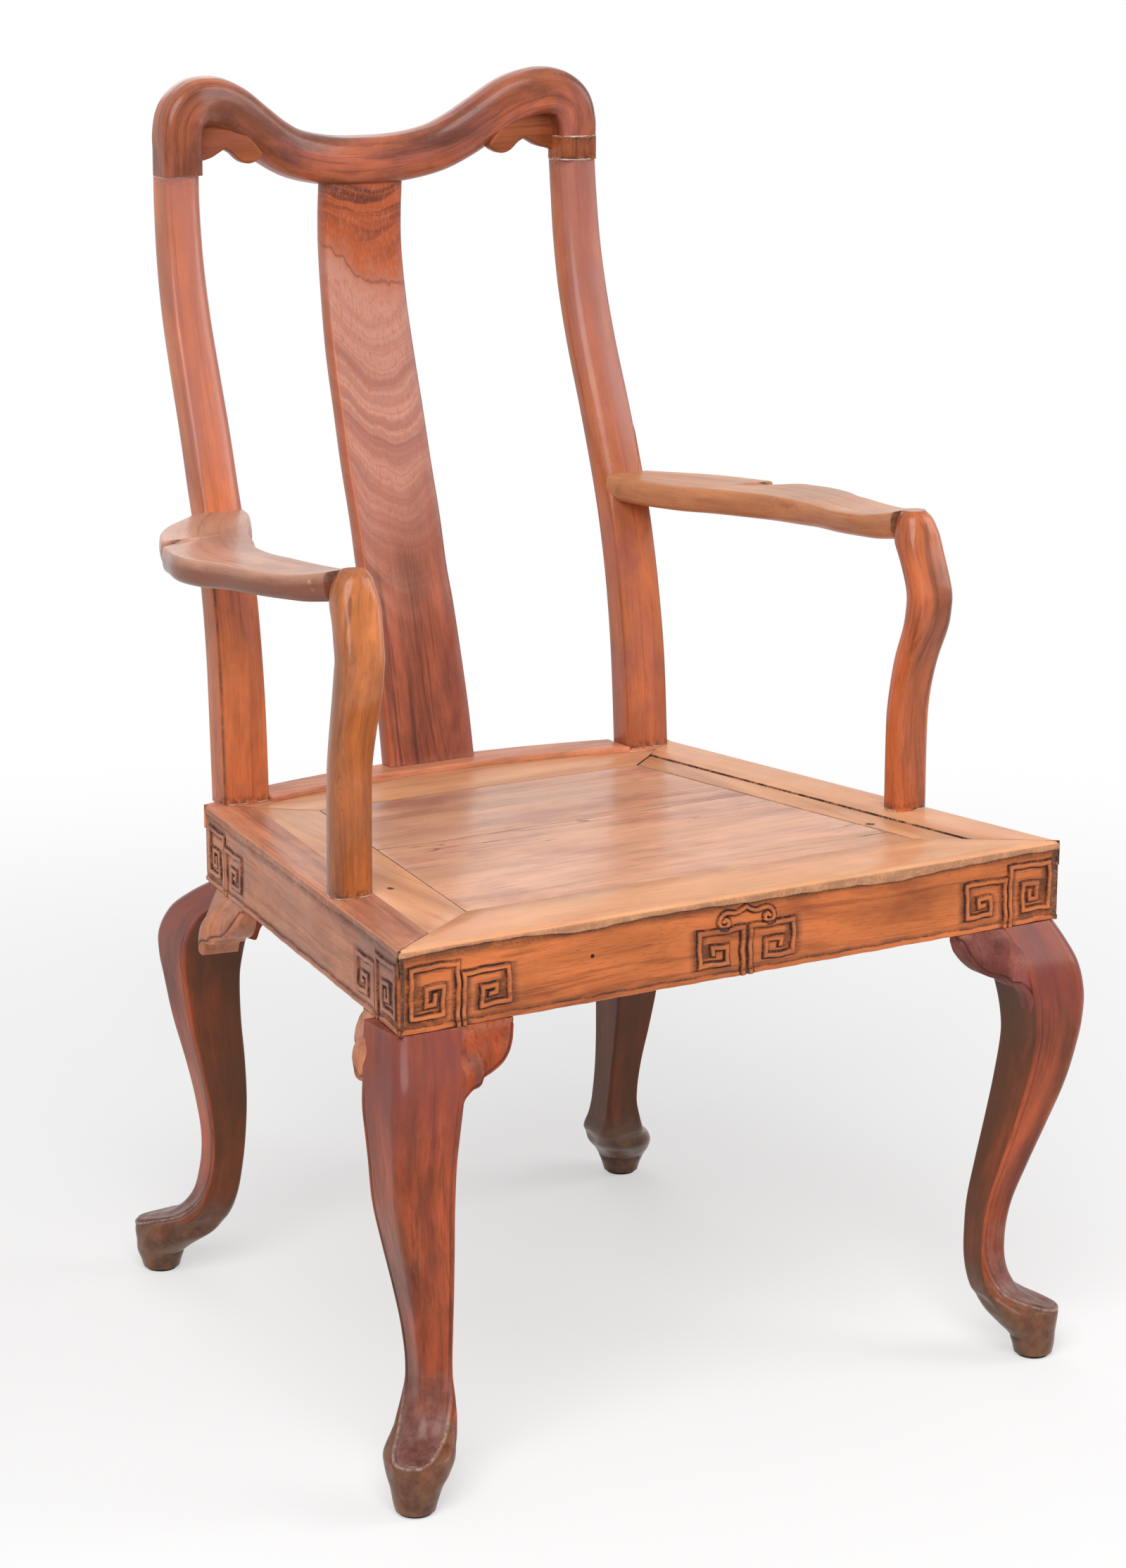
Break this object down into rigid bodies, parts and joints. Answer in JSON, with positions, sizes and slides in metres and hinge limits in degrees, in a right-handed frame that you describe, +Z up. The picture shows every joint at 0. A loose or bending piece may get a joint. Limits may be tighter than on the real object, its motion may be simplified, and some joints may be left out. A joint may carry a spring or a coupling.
{
  "type": "carved open armchair",
  "caption": "Open armchair in hardwood with a yoke-shaped crest rail, curved splat, serpentine arms, panelled seat with fret-carved apron and cabriole legs on spoon feet.",
  "frame": {"origin": "on the floor, under the middle of the chair's bounding box", "axes": "+Z up, the sitter faces -Y, +X is at the viewer's right when the chair is seen from the front"},
  "size_m": [0.6882, 0.7042, 1.1147],
  "materials": {
    "frame_wood": "satin lacquer",
    "strip_wood": "satin lacquer",
    "board_wood": "satin lacquer",
    "leg_wood": "satin lacquer",
    "post_wood": "satin lacquer",
    "crest_wood": "satin lacquer",
    "splat_wood": "satin lacquer",
    "arm_wood": "worn satin lacquer",
    "support_wood": "satin lacquer",
    "batten_wood": "plain",
    "felt": "compressed felt"
  },
  "bodies": {
    "root": {"seat_front_rail": "frame_wood", "seat_side_rail_right": "frame_wood", "seat_side_rail_left": "frame_wood", "seat_back_rail": "frame_wood", "seat_strip_right": "strip_wood", "seat_strip_left": "strip_wood", "seat_strip_back": "strip_wood", "seat_board_front": "board_wood", "seat_board_back": "board_wood", "panel_batten_right": "batten_wood", "panel_batten_left": "batten_wood", "leg_front_right": "leg_wood", "leg_front_left": "leg_wood", "leg_back_right": "leg_wood", "leg_back_left": "leg_wood", "knee_bracket_front_right": "leg_wood", "knee_bracket_front_left": "leg_wood", "knee_bracket_front_side_right": "strip_wood", "knee_bracket_front_side_left": "strip_wood", "knee_bracket_back_side_right": "strip_wood", "knee_bracket_back_side_left": "strip_wood", "knee_bracket_back_right": "leg_wood", "knee_bracket_back_left": "leg_wood", "foot_pad_front_right": "felt", "foot_pad_front_left": "felt", "foot_pad_back_right": "felt", "foot_pad_back_left": "felt", "back_post_left": "post_wood", "back_post_right": "post_wood", "post_patch_right": "post_wood", "arm_right": "arm_wood", "arm_left": "arm_wood", "arm_support_right": "support_wood", "arm_support_left": "support_wood", "crest_rail": "crest_wood", "crest_repair_block": "crest_wood", "crest_bracket_right": "crest_wood", "crest_bracket_left": "crest_wood", "back_splat": "splat_wood"}
  },
  "joints": []
}
